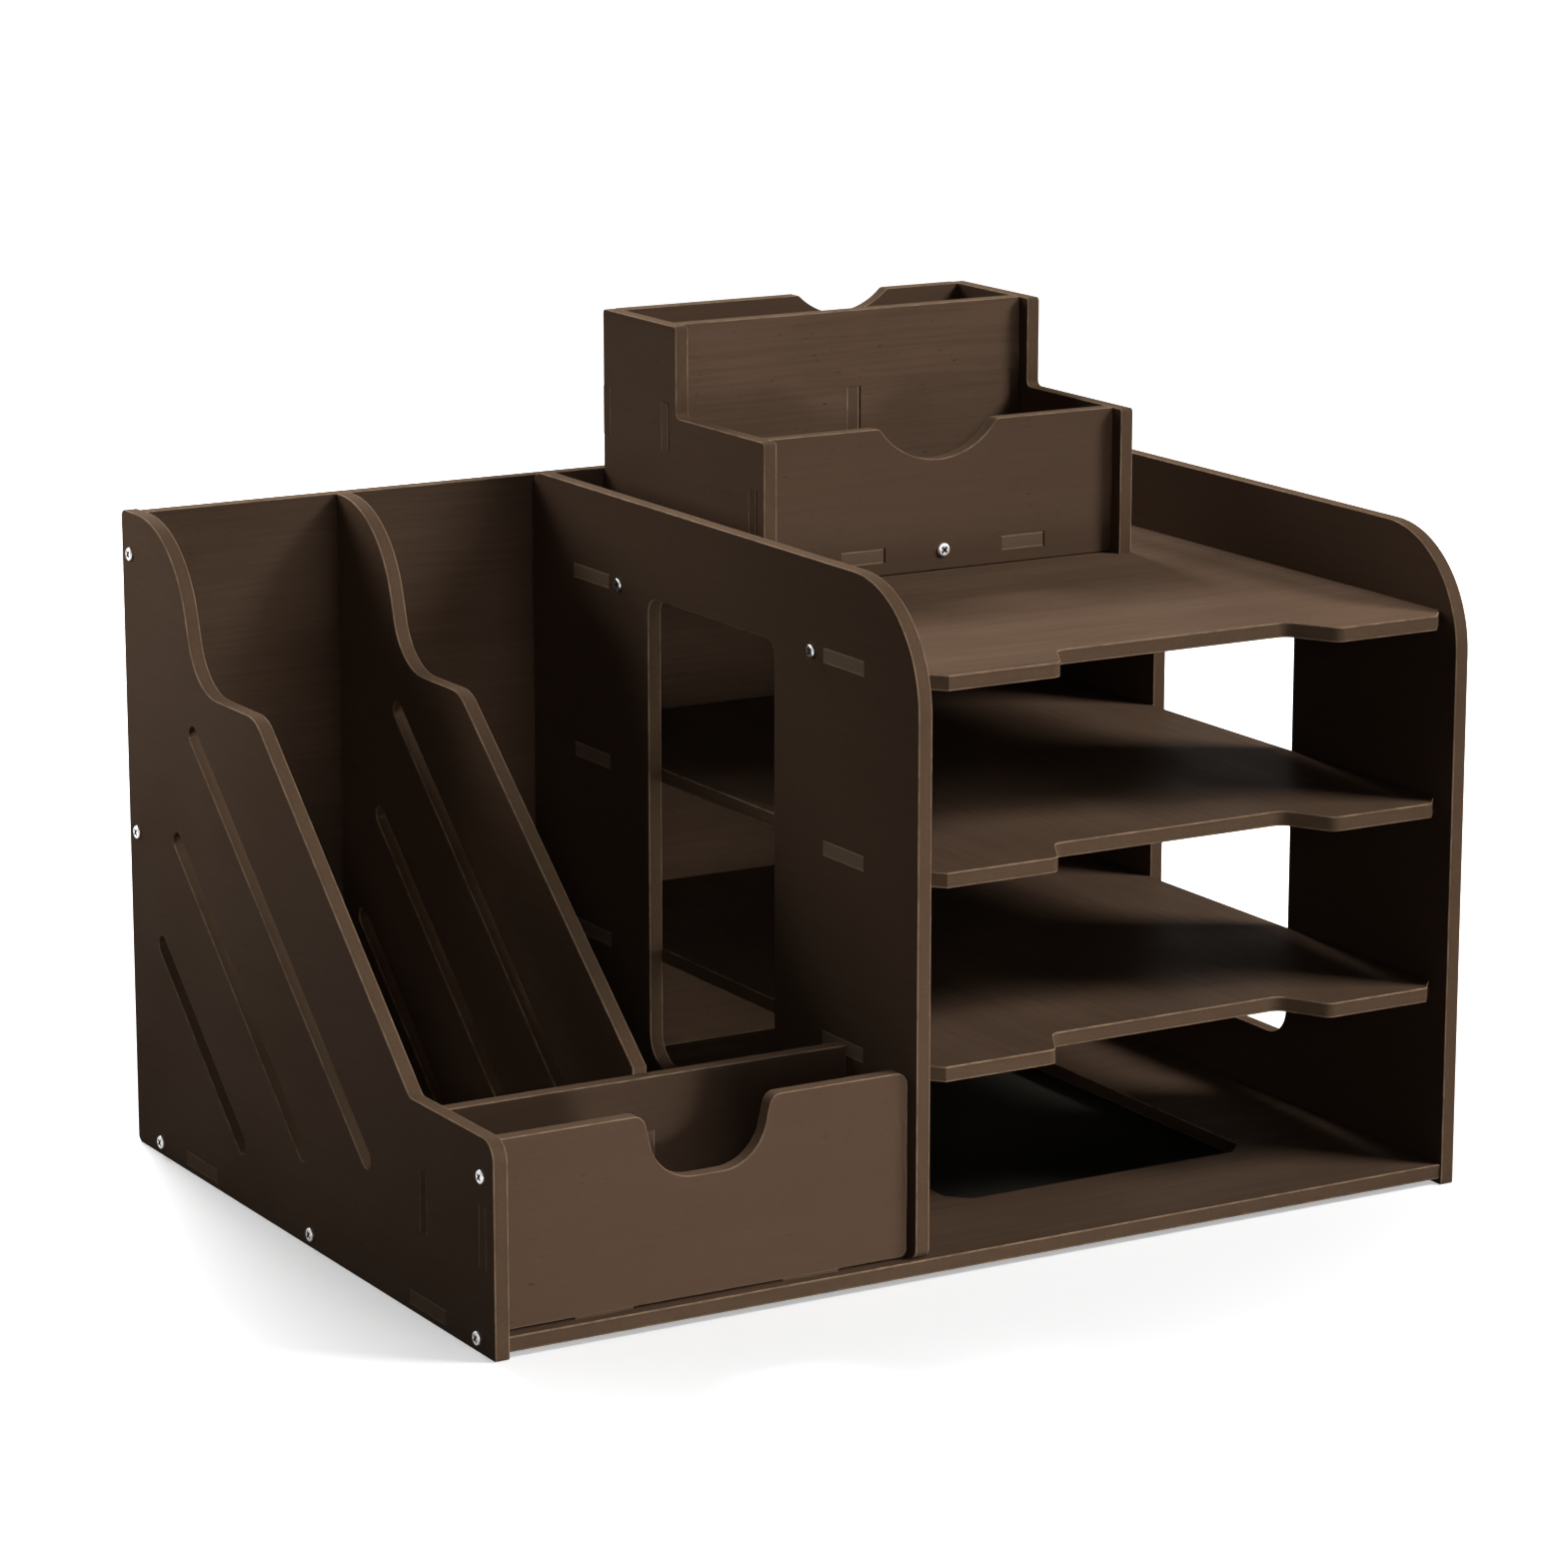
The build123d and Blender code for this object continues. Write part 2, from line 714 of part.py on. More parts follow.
def caddy_divider():
    top = caddy_floor_top + caddy_divider_height
    face = rectangle(caddy_rear_front, caddy_back_wall_y, caddy_floor_top, top)
    z0, z1 = caddy_high_tab_span()
    tabs = [
        rectangle(caddy_step_wall_y, caddy_rear_front + tab_root(), z0, z1),
        rectangle(caddy_back_wall_y - tab_root(), caddy_back_wall_y + board, z0, z1),
    ]
    return make_board(side_plane(caddy_centre - board / 2), face, tabs)


nodes = {
    "left_side_panel": left_side_panel(),
    "file_divider": file_divider(),
    "middle_panel": middle_panel(),
    "right_side_panel": right_side_panel(),
    "back_panel": back_panel(),
    "base_board": base_board(),
    "top_shelf": shelf(top_shelf_z, bores(middle_screws() + right_screws())),
    "upper_shelf": shelf(upper_shelf_z),
    "lower_shelf": shelf(lower_shelf_z),
    "tray_front_wall": tray_front_wall(),
    "tray_back_wall": tray_back_wall(),
    "caddy_left_side": caddy_side(caddy_left),
    "caddy_right_side": caddy_side(caddy_in_right),
    "caddy_front_wall": caddy_front_wall(),
    "caddy_step_wall": caddy_step_wall(),
    "caddy_back_wall": caddy_back_wall(),
    "caddy_floor": caddy_floor(),
    "caddy_divider": caddy_divider(),
    "left_panel_screws": screw_group(left_screws()),
    "middle_panel_screws": screw_group(middle_screws()),
    "right_panel_screws": screw_group(right_screws()),
    "caddy_screw": screw_group(caddy_screws()),
}

os.makedirs("parts", exist_ok=True)
for name, shape in nodes.items():
    export_step(shape, "parts/" + name + ".step")
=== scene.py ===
# %% [markdown]
# # A document organizer of dark boards
# The organizer is cut from 6 mm boards with a dark brown film on both faces.
# The boards lock together with tabs, and small steel screws hold the corners.
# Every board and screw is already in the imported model, so nothing is modelled again.
# This lesson gives each one its finish, then sets a camera, a floor and soft lights.

import math

import bmesh
import bpy
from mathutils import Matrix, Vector


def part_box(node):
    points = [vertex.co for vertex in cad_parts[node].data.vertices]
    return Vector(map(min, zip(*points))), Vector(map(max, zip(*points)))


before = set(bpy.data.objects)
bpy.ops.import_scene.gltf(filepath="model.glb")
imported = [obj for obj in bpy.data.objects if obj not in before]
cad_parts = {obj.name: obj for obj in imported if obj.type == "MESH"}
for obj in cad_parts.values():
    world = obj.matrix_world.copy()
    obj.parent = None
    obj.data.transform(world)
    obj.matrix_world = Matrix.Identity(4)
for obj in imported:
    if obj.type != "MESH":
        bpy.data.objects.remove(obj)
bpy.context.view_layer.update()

# %% [markdown]
# ## The camera comes first
# The photograph is taken from the front left, a little above the organizer.
# A long lens far away gives the same calm perspective, so the lens is worked out, not guessed.
# Azimuth is the turn from straight ahead (+Y) towards the right (+X), and pitch is the look down.

# %% The camera
IMAGE_SIDE = 1569
FOCAL_PIXELS = 5336.08
SENSOR_WIDTH = 36.0
CAMERA_PLACE = Vector((-1.044955, -1.786880, 0.638129))
AZIMUTH = math.radians(30.2835)
PITCH = math.radians(13.0867)


def make_camera():
    data = bpy.data.cameras.new("studio_camera")
    data.sensor_fit = "HORIZONTAL"
    data.sensor_width = SENSOR_WIDTH
    data.lens = SENSOR_WIDTH * FOCAL_PIXELS / IMAGE_SIDE
    data.clip_start = 0.05
    data.clip_end = 60.0
    camera = bpy.data.objects.new("studio_camera", data)
    bpy.context.scene.collection.objects.link(camera)
    level = math.cos(PITCH)
    ahead = Vector((math.sin(AZIMUTH) * level, math.cos(AZIMUTH) * level, -math.sin(PITCH)))
    camera.location = CAMERA_PLACE
    camera.rotation_euler = ahead.to_track_quat("-Z", "Y").to_euler()
    bpy.context.scene.camera = camera
    return camera


camera = make_camera()
print("lens in mm:", round(camera.data.lens, 2))

# %% [markdown]
# ## Shader maths that reads like arithmetic
# A finish is a small program made of nodes, and wiring nodes by hand hides the idea.
# The class below wraps one socket, so that `1 - mask` or `tone * 0.9` adds the node itself.
# Plain values use Math nodes, and colours and positions use Vector Math, which keeps all three
# channels. Every other node comes from the one method `node`.

# %% One wrapped socket
class Ink:
    """One output socket of a node tree, with arithmetic."""

    def __init__(self, tree, socket=None):
        self.tree = tree
        self.socket = socket

    def node(self, kind, settings=None, sockets=None, out=0):
        """Adds any node: its settings first, then the values or links of its sockets."""
        made = self.tree.nodes.new(kind)
        for key, value in (settings or {}).items():
            setattr(made, key, value)
        for key, value in (sockets or {}).items():
            if isinstance(value, Ink):
                self.tree.links.new(value.socket, made.inputs[key])
            else:
                made.inputs[key].default_value = value
        return Ink(self.tree, made.outputs[out] if made.outputs else None)

    def sister(self, out):
        """Another output of the same node."""
        return Ink(self.tree, self.socket.node.outputs[out])

    def is_value(self):
        return self.socket.type == "VALUE"

    def maths(self, operation, first, second):
        if all(not isinstance(x, Ink) or x.is_value() for x in (first, second)):
            return self.node("ShaderNodeMath", {"operation": operation}, {0: first, 1: second})
        spread = [x if isinstance(x, (Ink, tuple)) else (x, x, x) for x in (first, second)]
        return self.node("ShaderNodeVectorMath", {"operation": operation}, {0: spread[0], 1: spread[1]})

    def __add__(self, other):
        return self.maths("ADD", self, other)

    def __radd__(self, other):
        return self.maths("ADD", other, self)

    def __sub__(self, other):
        return self.maths("SUBTRACT", self, other)

    def __rsub__(self, other):
        return self.maths("SUBTRACT", other, self)

    def __mul__(self, other):
        return self.maths("MULTIPLY", self, other)

    def __rmul__(self, other):
        return self.maths("MULTIPLY", other, self)

    def __truediv__(self, other):
        return self.maths("DIVIDE", self, other)

    def __rtruediv__(self, other):
        return self.maths("DIVIDE", other, self)

    def larger(self, other):
        """The larger of two plain values, and so the union of two masks."""
        return self.maths("MAXIMUM", self, other)

    def smaller(self, other):
        return self.maths("MINIMUM", self, other)

    def length(self):
        return self.node("ShaderNodeVectorMath", {"operation": "LENGTH"}, {0: self}, 1)

    def __abs__(self):
        return self.maths("ABSOLUTE", self, 0.0)

    def part(self, axis):
        """The x, y or z of a vector, by its number."""
        return self.node("ShaderNodeSeparateXYZ", None, {0: self}, axis)

    def rise(self, start, end):
        """0 at start, 1 at end, and a smooth step between them."""
        settings = {"interpolation_type": "SMOOTHSTEP", "clamp": True}
        sockets = {"Value": self, "From Min": start, "From Max": end}
        return self.node("ShaderNodeMapRange", settings, sockets)

    def noise(self, scale, detail=2.0, roughness=0.5):
        sockets = {"Vector": self, "Scale": scale, "Detail": detail, "Roughness": roughness}
        return self.node("ShaderNodeTexNoise", {"noise_dimensions": "3D"}, sockets)

    def blend(self, first, second):
        """Mixes two colours. This value is the share of the second."""
        return self.node("ShaderNodeMix", {"data_type": "RGBA"}, {0: self, 6: first, 7: second}, 2)


print("the wrapped socket has", len([m for m in dir(Ink) if not m.startswith("__")]), "plain methods")

# %% [markdown]
# ## A blank material to write on
# A new material comes with a ready shader, so its tree is emptied before a finish is built.
# The Object output of Texture Coordinate gives a point's place in metres, because the boards
# keep their place in their meshes. The Normal output says which way the surface faces.

# %% A blank finish
def blank_tree(holder):
    """An emptied node tree with no socket yet, ready for its first node."""
    holder.use_nodes = True
    holder.node_tree.nodes.clear()
    return Ink(holder.node_tree)


def blank_finish(name):
    """A material, and the place and the facing of a point on its surface."""
    material = bpy.data.materials.new(name)
    place = blank_tree(material).node("ShaderNodeTexCoord", out="Object")
    return material, place, place.sister("Normal")


def close_finish(place, sockets):
    """Adds the one Principled shader with these sockets, and the material's output."""
    shader = place.node("ShaderNodeBsdfPrincipled", None, sockets)
    place.node("ShaderNodeOutputMaterial", None, {"Surface": shader})


print("each finish starts from an empty tree")

# %% [markdown]
# ## The dark brown film
# The boards are fibreboard under a printed film with a fine straight grain, which a wipe of
# light shows as soft streaks. An image of wood would repeat, so the grain comes from noise that
# is stretched along the board: wide bands, thin streaks, and short dark pores.
# Each board reads another place of the noise, as if it came from another part of the sheet, and has its
# own shade, a painted light and shade: lit boards are lighter and boards in the shaded bays darker.

# %% Colours of the film and the cut edge
FILM_LIGHT = (0.1140, 0.0724, 0.0480, 1.0)
FILM_DARK = (0.0845, 0.0512, 0.0325, 1.0)
PORE = (0.0300, 0.0175, 0.0110, 1.0)
EDGE_CORE = (0.1100, 0.0690, 0.0435, 1.0)
EDGE_SKIN = (0.0820, 0.0510, 0.0305, 1.0)
TAB_END = (0.1900, 0.1350, 0.0930, 1.0)
# The arris's pale colour is wear and a painted highlight.
RUBBED_HIGHLIGHT = (0.3300, 0.2300, 0.1520, 1.0)
print("film colours:", FILM_LIGHT[:3], "to", FILM_DARK[:3])

# %% The grain of the film
# A pair of scales holds waves per metre along the grain and across it,
# and a range holds the noise values where a smooth step starts and ends.
SWAY_SCALE, SWAY_REACH = 9.0, 0.006
BAND_SCALES, BAND_RANGE, BAND_SHARE = (3.0, 45.0), (0.30, 0.70), 0.45
STREAK_SCALES, STREAK_RANGE, STREAK_SHARE = (16.0, 620.0), (0.32, 0.68), 0.55
PORE_SCALES, PORE_RANGE = (230.0, 1300.0), (0.70, 0.80)
PORE_LEAST, PORE_MORE = 0.35, 0.25
CLOUD_SCALE, CLOUD_REACH = 17.0, 0.5


def stretched(place, grain, pair, offset):
    """The place with the grain's axis drawn out, so that round noise becomes long streaks."""
    along, across = pair
    scales = [across, across, across]
    scales[grain] = along
    return (place + offset) * tuple(scales)


def film_colour(place, grain, offset, show, shade):
    """The film's colour, and its tone and pores for the roughness and the relief.

    show is how strongly the grain shows, and shade is a painted light and shade: it makes the whole
    board lighter or darker by how it is lit.
    """
    wander = (place + offset).noise(SWAY_SCALE, detail=1.0)
    swayed = place + (wander - 0.5) * SWAY_REACH
    bands = stretched(swayed, grain, BAND_SCALES, offset).noise(1.0)
    streaks = stretched(swayed, grain, STREAK_SCALES, offset).noise(1.0, detail=3.0, roughness=0.6)
    pores = stretched(swayed, grain, PORE_SCALES, offset).noise(1.0, detail=1.0).rise(*PORE_RANGE)
    grains = bands.rise(*BAND_RANGE) * BAND_SHARE + streaks.rise(*STREAK_RANGE) * STREAK_SHARE
    tone = (grains - 0.5) * show + 0.5
    colour = tone.blend(FILM_LIGHT, FILM_DARK)
    cloud = (place + offset).noise(CLOUD_SCALE, detail=3.0, roughness=0.55)
    # Painted light and shade: the board's shade scales its whole colour.
    colour = colour * (shade + (cloud - 0.5) * (CLOUD_REACH * show * shade))
    return (pores * (PORE_LEAST + PORE_MORE * show)).blend(colour, PORE), tone, pores * show


print("streaks per metre across the grain:", STREAK_SCALES[1])

# %% [markdown]
# ## The cut edge and the arris, with its wear and painted highlight
# A saw or a laser leaves the board's core bare along every outline. The core has about the
# film's tone, but it is duller, and it darkens towards the two faces.
# A mask painted by hand would have to be painted again after each change of the model, so the
# surface's direction tells film from cut: along the board's thin axis is film, and across it is cut.
# Between them lies the small round that hands and paper rub, and it is paler in broken lines: partly
# wear, and partly a painted highlight where the round catches the light.

# %% The cut edge
# The ranges up to DEPTH_RANGE are of the surface's direction or depth, and the rest are of noise.
FILM_RANGE = (0.62, 0.90)
ARRIS_RANGE, ARRIS_FADE = (0.04, 0.30), (0.93, 0.995)
STRIP_RANGE, STRIP_FADE, STRIP_SHARE = (0.72, 0.86), (0.5, 0.9), 0.7
DEPTH_RANGE, DEPTH_SHARE = (0.35, 1.0), 0.55
FIBRE_SCALE, FIBRE_RANGE, FIBRE_SHARE = 900.0, (0.35, 0.65), 0.30
PATCH_SCALE, PATCH_RANGE, PATCH_SHARE = 55.0, (0.35, 0.65), 0.15
WEAR_HIGHLIGHT_SCALE, WEAR_HIGHLIGHT_RANGE = 130.0, (0.32, 0.62)
WEAR_HIGHLIGHT_LEAST, WEAR_HIGHLIGHT_MORE = 0.45, 0.55


def edge_colour(place, depth, offset):
    """The cut's colour and its fibres. depth is 0 in the middle of the board and 1 at its faces."""
    fibre = (place + offset).noise(FIBRE_SCALE, detail=3.0, roughness=0.65)
    patches = (place + offset).noise(PATCH_SCALE)
    shade = depth.rise(*DEPTH_RANGE) * DEPTH_SHARE + fibre.rise(*FIBRE_RANGE) * FIBRE_SHARE
    shade = shade + patches.rise(*PATCH_RANGE) * PATCH_SHARE
    return shade.blend(EDGE_CORE, EDGE_SKIN), fibre


def arris_wear_highlight_mask(flat, depth, place, offset):
    """Wear and painted highlight: 1 on the round between film and cut, and less on the strip of the cut
    beside it.
    """
    wear_highlight_breaks = (place + offset).noise(WEAR_HIGHLIGHT_SCALE, detail=3.0, roughness=0.6).rise(*WEAR_HIGHLIGHT_RANGE)
    turned = flat.rise(*ARRIS_RANGE) * (1.0 - flat.rise(*ARRIS_FADE))
    beside = depth.rise(*STRIP_RANGE) * (1.0 - flat.rise(*STRIP_FADE)) * STRIP_SHARE
    return turned.larger(beside) * (wear_highlight_breaks * WEAR_HIGHLIGHT_MORE + WEAR_HIGHLIGHT_LEAST)


print("film starts where the surface faces the thin axis by", FILM_RANGE[0])

# %% [markdown]
# ## The ends of the tabs
# Each board's tabs go through its neighbours, and their ends show on the far side: pale where
# the board lies flat, and like film where it stands. They lie on the board's outermost planes,
# so their place and direction find them without a material slot of their own.

# %% The ends of the tabs
X, Y, Z = 0, 1, 2
TAB_SKIN = 0.0006
TAB_FACING = (0.8, 0.95)


def tab_ends(place, facing, low, high, sides):
    """1 on the ends of the tabs, which lie on the board's outermost planes on those sides."""
    found = None
    for side in sides.split():
        axis = "xyz".index(side[1])
        if side[0] == "+":
            reach = (place.part(axis) - (high[axis] - TAB_SKIN)).rise(0.0, TAB_SKIN / 2)
        else:
            reach = ((low[axis] + TAB_SKIN) - place.part(axis)).rise(0.0, TAB_SKIN / 2)
        end = reach * abs(facing.part(axis)).rise(*TAB_FACING)
        found = end if found is None else found.larger(end)
    return found


print("a tab's end is within", TAB_SKIN, "m of the board's outermost plane")

# %% [markdown]
# ## One finish for each board
# The film, the cut and the arris come together in one material for each board.
# Roughness follows the same noise, so that a streak also shows in the sheen, and faint
# smudges from handling break up the reflection. The pores and streaks press slightly into the film.
# One shared material would show the same streaks on every board, so each has its own.

# %% A board's finish
SHEET_START, SHEET_STEP = (0.0, 0.3, 0.7), (0.731, 0.417, 0.293)
FILM_ROUGHNESS, TONE_SHEEN, SMUDGE_SHEEN, PORE_SHEEN = 0.50, 0.10, 0.07, 0.15
CUT_ROUGHNESS, FIBRE_SHEEN = 0.72, 0.12
SMUDGE_SCALE, SMUDGE_RANGE = 22.0, (0.35, 0.70)
TONE_DENT, PORE_DENT = 0.35, 0.9
CUT_LEVEL, FIBRE_RELIEF = 0.4, 1.3
GRAIN_DEPTH, GRAIN_STRENGTH = 0.00012, 0.45
ARRIS_HIGHLIGHT_SHARE = 0.8
SPECULAR = 0.004


def board_finish(name, thin, grain, show, shade, number, sides, pale):
    low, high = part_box(name)
    middle = (low[thin] + high[thin]) / 2
    half = (high[thin] - low[thin]) / 2
    offset = tuple(step * number + start for start, step in zip(SHEET_START, SHEET_STEP))
    material, place, facing = blank_finish(name + "_finish")
    flat = abs(facing.part(thin))
    film = flat.rise(*FILM_RANGE)
    face, tone, pores = film_colour(place, grain, offset, show, shade)
    depth = abs(place.part(thin) - middle) / half
    cut, fibre = edge_colour(place, depth, offset)
    if sides and pale:
        cut = (tab_ends(place, facing, low, high, sides) * pale).blend(cut, TAB_END)
    elif sides:
        film = film.larger(tab_ends(place, facing, low, high, sides))
    arris = arris_wear_highlight_mask(flat, depth, place, offset)
    body = film.blend(cut, face)
    # The arris turns pale: wear and a painted highlight.
    colour = (arris * ARRIS_HIGHLIGHT_SHARE).blend(body, RUBBED_HIGHLIGHT)
    smudge = (place + offset).noise(SMUDGE_SCALE).rise(*SMUDGE_RANGE)
    sheen = FILM_ROUGHNESS + (tone - 0.5) * TONE_SHEEN + smudge * SMUDGE_SHEEN + pores * PORE_SHEEN
    rough = film * sheen + (1.0 - film) * (CUT_ROUGHNESS + (fibre - 0.5) * FIBRE_SHEEN)
    pressed = 1.0 - tone * TONE_DENT - pores * PORE_DENT
    relief = film * pressed + (1.0 - film) * (CUT_LEVEL + fibre * FIBRE_RELIEF)
    sockets = {"Strength": GRAIN_STRENGTH, "Distance": GRAIN_DEPTH, "Height": relief}
    bump = relief.node("ShaderNodeBump", None, sockets)
    sockets = {"Base Color": colour, "Roughness": rough, "Normal": bump}
    close_finish(place, {**sockets, "Specular IOR Level": SPECULAR})
    return material


def dress(name, material):
    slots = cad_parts[name].data.materials
    slots.clear()
    slots.append(material)


print("grain depth in m:", GRAIN_DEPTH)

# %% Every board
# Name, thin axis, grain axis, show of the grain, shade (painted light and shade), sides with tab ends,
# paleness of the ends
BOARDS = [
    ("left_side_panel", X, Y, 0.25, 1.00, "", 0.0),
    ("file_divider", X, Y, 0.25, 0.95, "-y +y -z", 0.0),
    ("middle_panel", X, Y, 0.25, 0.82, "+y -z", 0.0),
    ("right_side_panel", X, Y, 0.25, 0.85, "", 0.0),
    ("back_panel", Y, X, 0.75, 0.70, "-z", 0.0),
    ("tray_front_wall", Y, X, 0.16, 1.05, "-x -z", 0.0),
    ("tray_back_wall", Y, X, 0.40, 0.68, "-x +x -z", 0.0),
    ("base_board", Z, X, 0.85, 0.88, "-x +x", 0.75),
    ("top_shelf", Z, X, 0.90, 1.10, "-x +x", 0.75),
    ("upper_shelf", Z, Y, 0.70, 1.05, "-x +x", 0.75),
    ("lower_shelf", Z, Y, 0.70, 1.00, "-x +x", 0.75),
    ("caddy_left_side", X, Y, 0.30, 1.12, "", 0.0),
    ("caddy_right_side", X, Y, 0.30, 1.00, "", 0.0),
    ("caddy_divider", X, Y, 0.30, 1.00, "-y +y", 0.0),
    ("caddy_front_wall", Y, X, 0.30, 0.95, "-x +x", 0.0),
    ("caddy_step_wall", Y, X, 0.85, 1.15, "-x +x -z", 0.0),
    ("caddy_back_wall", Y, X, 0.50, 0.95, "-x +x", 0.0),
    ("caddy_floor", Z, X, 0.30, 0.95, "-x +x -y +y", 0.40),
]
for number, (name, thin, grain, show, shade, sides, pale) in enumerate(BOARDS, start=1):
    dress(name, board_finish(name, thin, grain, show, shade, number, sides, pale))
print("boards finished:", len(BOARDS))

# %% [markdown]
# ## Bright plated screws
# The screws are small pan heads of zinc-plated steel. The plating is bright, with a fine mottle in its
# sheen, and the cross recess has a painted shade, so it looks dark from every side.
# The recess is found by place: it is the part near the middle of a head that lies below the head's
# crown. The crowns are found in the mesh, so the painted shade follows the model.

# %% Where the screw heads are
# A point of a crown joins the first group that starts closer to it than HEAD_REACH. A crown is a little
# wider than that, so a head gives two groups, and its painted shade also covers a part of its rim.
CROWN_DEPTH = 0.00004
HEAD_REACH = 0.004


def crown_centres(name, axis, crown):
    """The middle of each group of crown points, in metres."""
    groups = []
    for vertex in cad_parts[name].data.vertices:
        point = vertex.co.copy()
        if abs(point[axis] - crown) > CROWN_DEPTH:
            continue
        home = next((g for g in groups if (g[0] - point).length < HEAD_REACH), None)
        if home is None:
            groups.append([point])
        else:
            home.append(point)
    centres = []
    for group in groups:
        low = Vector([min(p[i] for p in group) for i in range(3)])
        high = Vector([max(p[i] for p in group) for i in range(3)])
        centres.append((low + high) / 2)
    return centres


print("a crown is within", CROWN_DEPTH, "m of the outermost plane")

# %% The screws' finish
STEEL = (0.97, 0.96, 0.94, 1.0)
# The recess's colour is a painted shade.
RECESS_PAINTED_SHADE = (0.030, 0.026, 0.022, 1.0)
RECESS_RADIUS, RECESS_EDGE = 0.00185, 0.0001
RECESS_SHADE_START, RECESS_SHADE_END = 0.00016, 0.00045
RECESS_SHADE_DULLNESS, RECESS_SHADE_SHARE = 0.4, 0.9
MOTTLE_SCALE, MOTTLE_REACH = 1400.0, 0.16
# Name, axis, side that the heads face, roughness, brightness
SCREWS = [
    ("left_panel_screws", X, -1, 0.20, 0.55),
    ("middle_panel_screws", X, -1, 0.20, 0.55),
    ("right_panel_screws", X, 1, 0.20, 0.55),
    ("caddy_screw", Y, -1, 0.42, 1.0),
]


def screw_finish(name, axis, side, dull, bright):
    low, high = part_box(name)
    crown = high[axis] if side > 0 else low[axis]
    centres = crown_centres(name, axis, crown)
    material, place, _ = blank_finish(name + "_finish")
    flatten = [1.0, 1.0, 1.0]
    flatten[axis] = 0.0
    nearest = None
    for centre in centres:
        distance = ((place - tuple(centre)) * tuple(flatten)).length()
        nearest = distance if nearest is None else nearest.smaller(distance)
    depth = (crown - place.part(axis)) * float(side)
    inside = 1.0 - nearest.rise(RECESS_RADIUS - RECESS_EDGE, RECESS_RADIUS)
    # Painted shade in the cross recess, and on a part of the rim.
    recess_shade = inside * depth.rise(RECESS_SHADE_START, RECESS_SHADE_END)
    mottle = place.noise(MOTTLE_SCALE)
    steel = tuple(channel * bright for channel in STEEL[:3]) + (1.0,)
    colour = recess_shade.blend(steel, RECESS_PAINTED_SHADE)
    rough = dull + mottle * MOTTLE_REACH + recess_shade * RECESS_SHADE_DULLNESS
    metal = 1.0 - recess_shade * RECESS_SHADE_SHARE
    close_finish(place, {"Base Color": colour, "Roughness": rough, "Metallic": metal})
    return material, len(centres)


for name, axis, side, dull, bright in SCREWS:
    finish, groups = screw_finish(name, axis, side, dull, bright)
    dress(name, finish)
    print(name, "groups of crown points:", groups)

# %% [markdown]
# ## The floor
# The organizer stands on a plain pale floor that runs to white. A white floor would throw light
# up under the boards, so only the camera and the reflections see it pale, and other rays see it grey.
# Its own glow grows with distance from the organizer, which leaves the soft shadow near it.
# Under the base, where the cut-out shows it, the floor has a painted shadow: it is dark and has no
# glow.

# %% A pale floor
FLOOR_REACH = 12.0
FLOOR_PALE = (0.80, 0.80, 0.80, 1.0)
FLOOR_BOUNCE = (0.12, 0.117, 0.114, 1.0)
UNDER_BASE_PAINTED_SHADOW = (0.050, 0.044, 0.036, 1.0)
UNDER_WIDE, UNDER_DEEP = (0.195, 0.207), (0.138, 0.150)
GLOW_NEAR, GLOW_RANGE = 0.40, (0.20, 0.52)


def seen_rays(start):
    """1 for rays from the camera, from a reflection or through glass, and 0 for the rest."""
    camera_ray = start.node("ShaderNodeLightPath", out="Is Camera Ray")
    glossy_ray = camera_ray.sister("Is Glossy Ray")
    clear_ray = camera_ray.sister("Is Transmission Ray")
    return camera_ray.larger(glossy_ray.larger(clear_ray))


def floor_finish():
    material, place, _ = blank_finish("floor_finish")
    seen = seen_rays(place)
    away = place.length()
    wide = 1.0 - abs(place.part(X)).rise(*UNDER_WIDE)
    deep = 1.0 - abs(place.part(Y)).rise(*UNDER_DEEP)
    under = wide * deep
    pale = seen.blend(FLOOR_BOUNCE, FLOOR_PALE)
    # Painted shadow: under the base the floor is dark.
    diffuse = place.node("ShaderNodeBsdfDiffuse", None, {"Color": under.blend(pale, UNDER_BASE_PAINTED_SHADOW)})
    far_glow = away.rise(*GLOW_RANGE) * (1.0 - GLOW_NEAR)
    glow = seen * (1.0 - under) * (GLOW_NEAR + far_glow)
    light = place.node("ShaderNodeEmission", None, {"Strength": glow})
    both = place.node("ShaderNodeAddShader", None, {0: diffuse, 1: light})
    place.node("ShaderNodeOutputMaterial", None, {"Surface": both})
    return material


def make_floor():
    mesh = bpy.data.meshes.new("floor")
    sheet = bmesh.new()
    corners = [(-1, -1), (1, -1), (1, 1), (-1, 1)]
    sheet.faces.new([sheet.verts.new((x * FLOOR_REACH, y * FLOOR_REACH, 0.0)) for x, y in corners])
    sheet.to_mesh(mesh)
    sheet.free()
    floor = bpy.data.objects.new("floor", mesh)
    bpy.context.scene.collection.objects.link(floor)
    floor.data.materials.append(floor_finish())


make_floor()
print("floor side in m:", FLOOR_REACH * 2)

# %% [markdown]
# ## Soft studio light
# The main softbox stands high on the right, so each tall panel shades the bay on its left.
# Two low ones in front even out the faces, and a narrow one by the camera reaches into the slots.
# One behind lights the tops of the boards, and a small one close on the left fades down the left panel.

# %% The softboxes
MIDDLE = Vector((0.0, 0.0, 0.16))


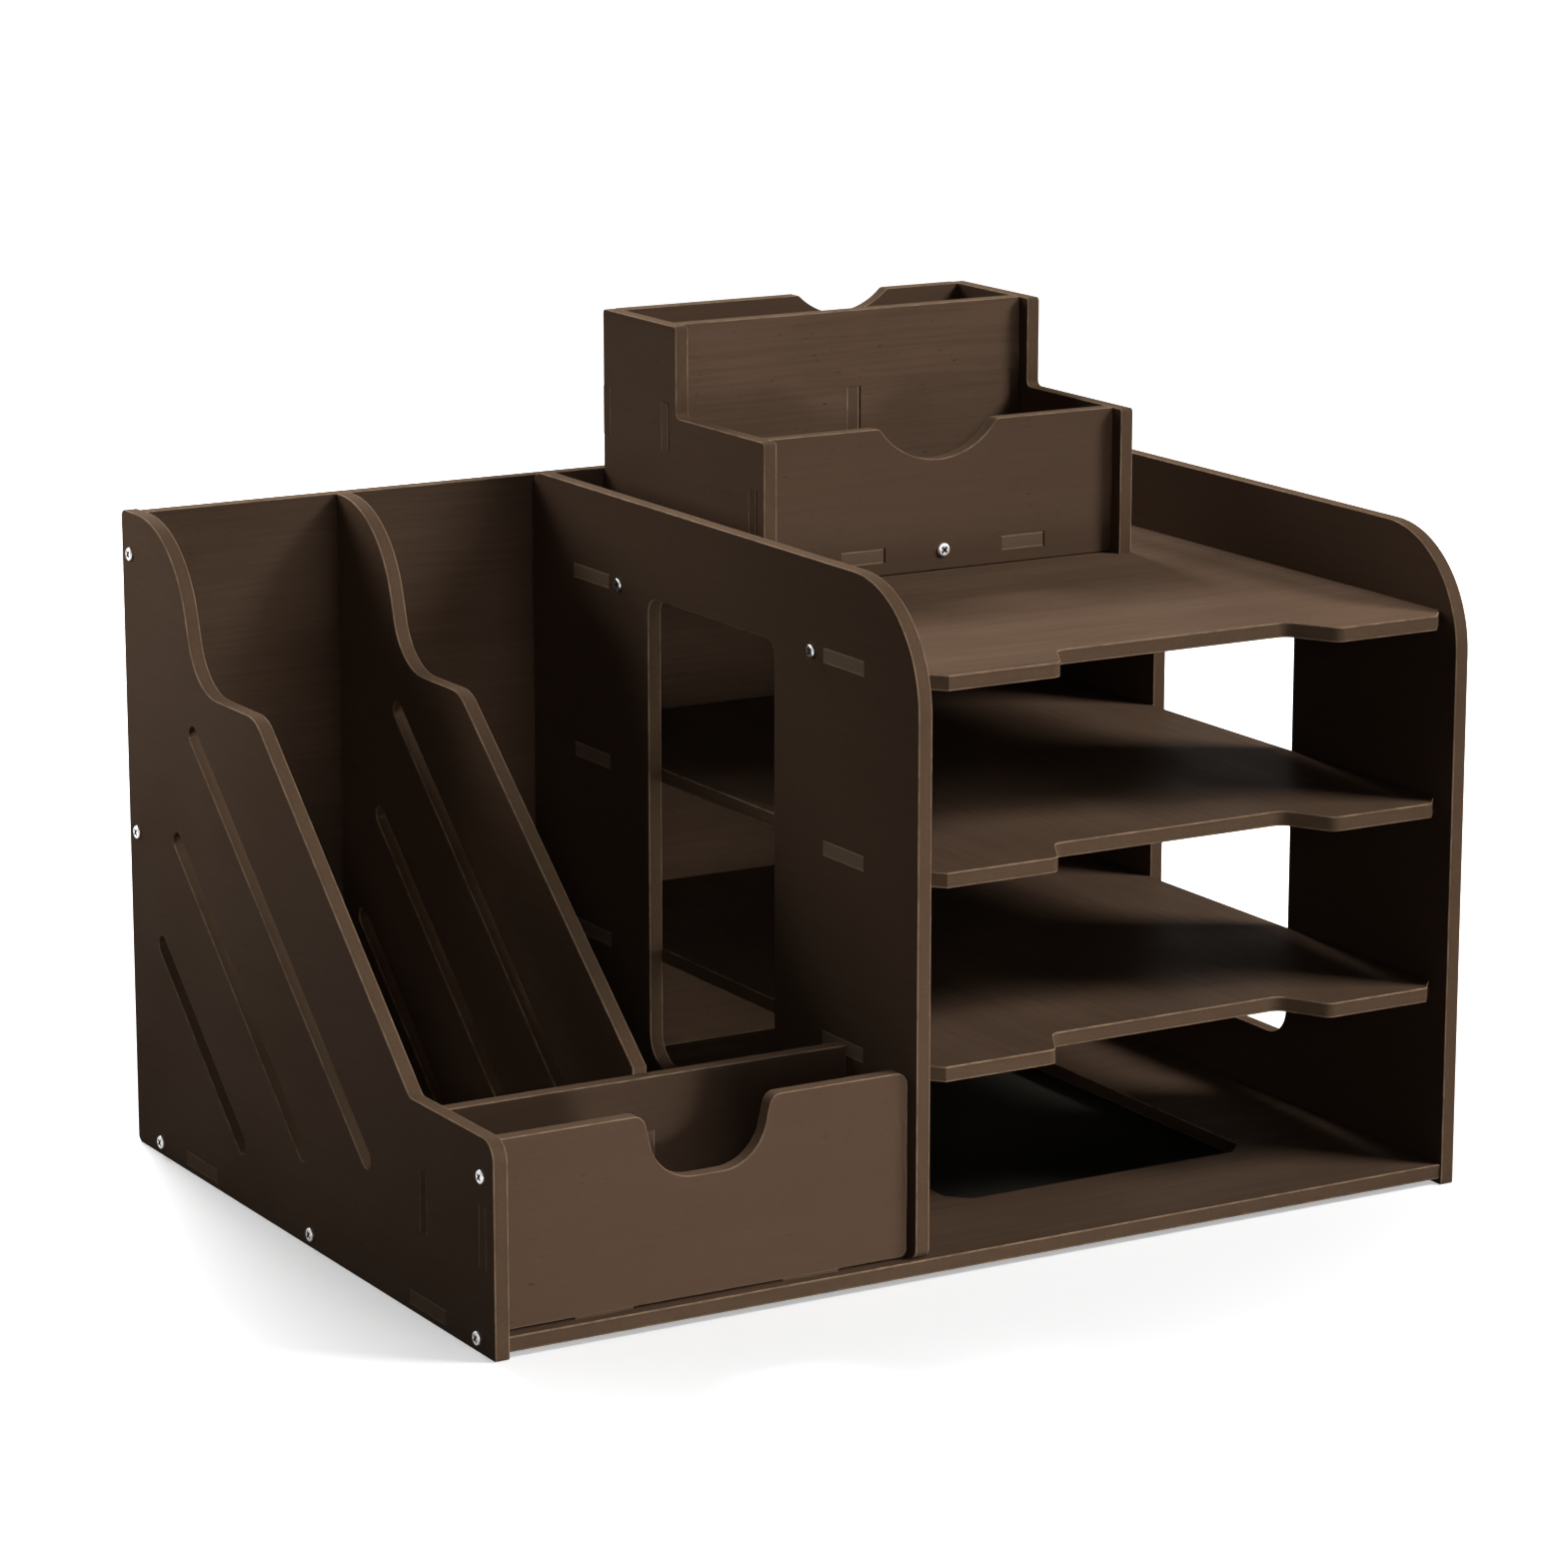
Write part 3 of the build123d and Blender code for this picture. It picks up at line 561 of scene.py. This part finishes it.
def softbox(name, place, aim, width, height, power, spread):
    data = bpy.data.lights.new(name, "AREA")
    data.shape = "RECTANGLE"
    data.size = width
    data.size_y = height
    data.energy = power
    data.spread = math.radians(spread)
    lamp = bpy.data.objects.new(name, data)
    bpy.context.scene.collection.objects.link(lamp)
    lamp.location = place
    lamp.rotation_euler = (aim - lamp.location).to_track_quat("-Z", "Y").to_euler()


# Name, place, aim, width, height, power in watts, spread in degrees
SOFTBOXES = [
    ("right_softbox", Vector((1.33, -1.12, 1.51)), MIDDLE, 0.7, 0.7, 42.0, 180.0),
    ("front_softbox", Vector((0.25, -2.45, 0.42)), MIDDLE, 1.4, 0.6, 3.5, 180.0),
    ("low_softbox", Vector((0.05, -1.45, 0.10)), Vector((-0.07, -0.16, 0.04)), 0.4, 0.15, 0.45, 40.0),
    ("camera_softbox", Vector((-1.20, -1.90, 0.75)), Vector((-0.20, 0.0, 0.09)), 0.3, 0.3, 0.11, 24.0),
    ("back_softbox", Vector((0.1, 1.7, 1.3)), MIDDLE, 0.8, 0.8, 70.0, 180.0),
    ("left_softbox", Vector((-0.50, 0.36, 0.40)), Vector((-0.215, 0.14, 0.27)), 0.2, 0.2, 0.16, 60.0),
]
for name, place, aim, width, height, power, spread in SOFTBOXES:
    softbox(name, place, aim, width, height, power, spread)
print("softboxes:", len(SOFTBOXES))

# %% [markdown]
# ## The world
# The world gives a little fill from everywhere, and shows itself white to the camera and
# to reflections, so that the picture's ground is white without more light on the boards.

# %% A dim world that looks white
WORLD_FILL = 0.002
WHITE = (1.0, 1.0, 1.0, 1.0)


def make_world():
    world = bpy.data.worlds.new("studio")
    start = blank_tree(world)
    strength = seen_rays(start) * (1.0 - WORLD_FILL) + WORLD_FILL
    background = start.node("ShaderNodeBackground", None, {"Color": WHITE, "Strength": strength})
    start.node("ShaderNodeOutputWorld", None, {"Surface": background})
    bpy.context.scene.world = world


make_world()
bpy.context.scene.view_settings.view_transform = "Standard"
print("world fill:", WORLD_FILL)

# %% [markdown] The finishes change no mesh, so the dressed organizer has the size of the imported model.
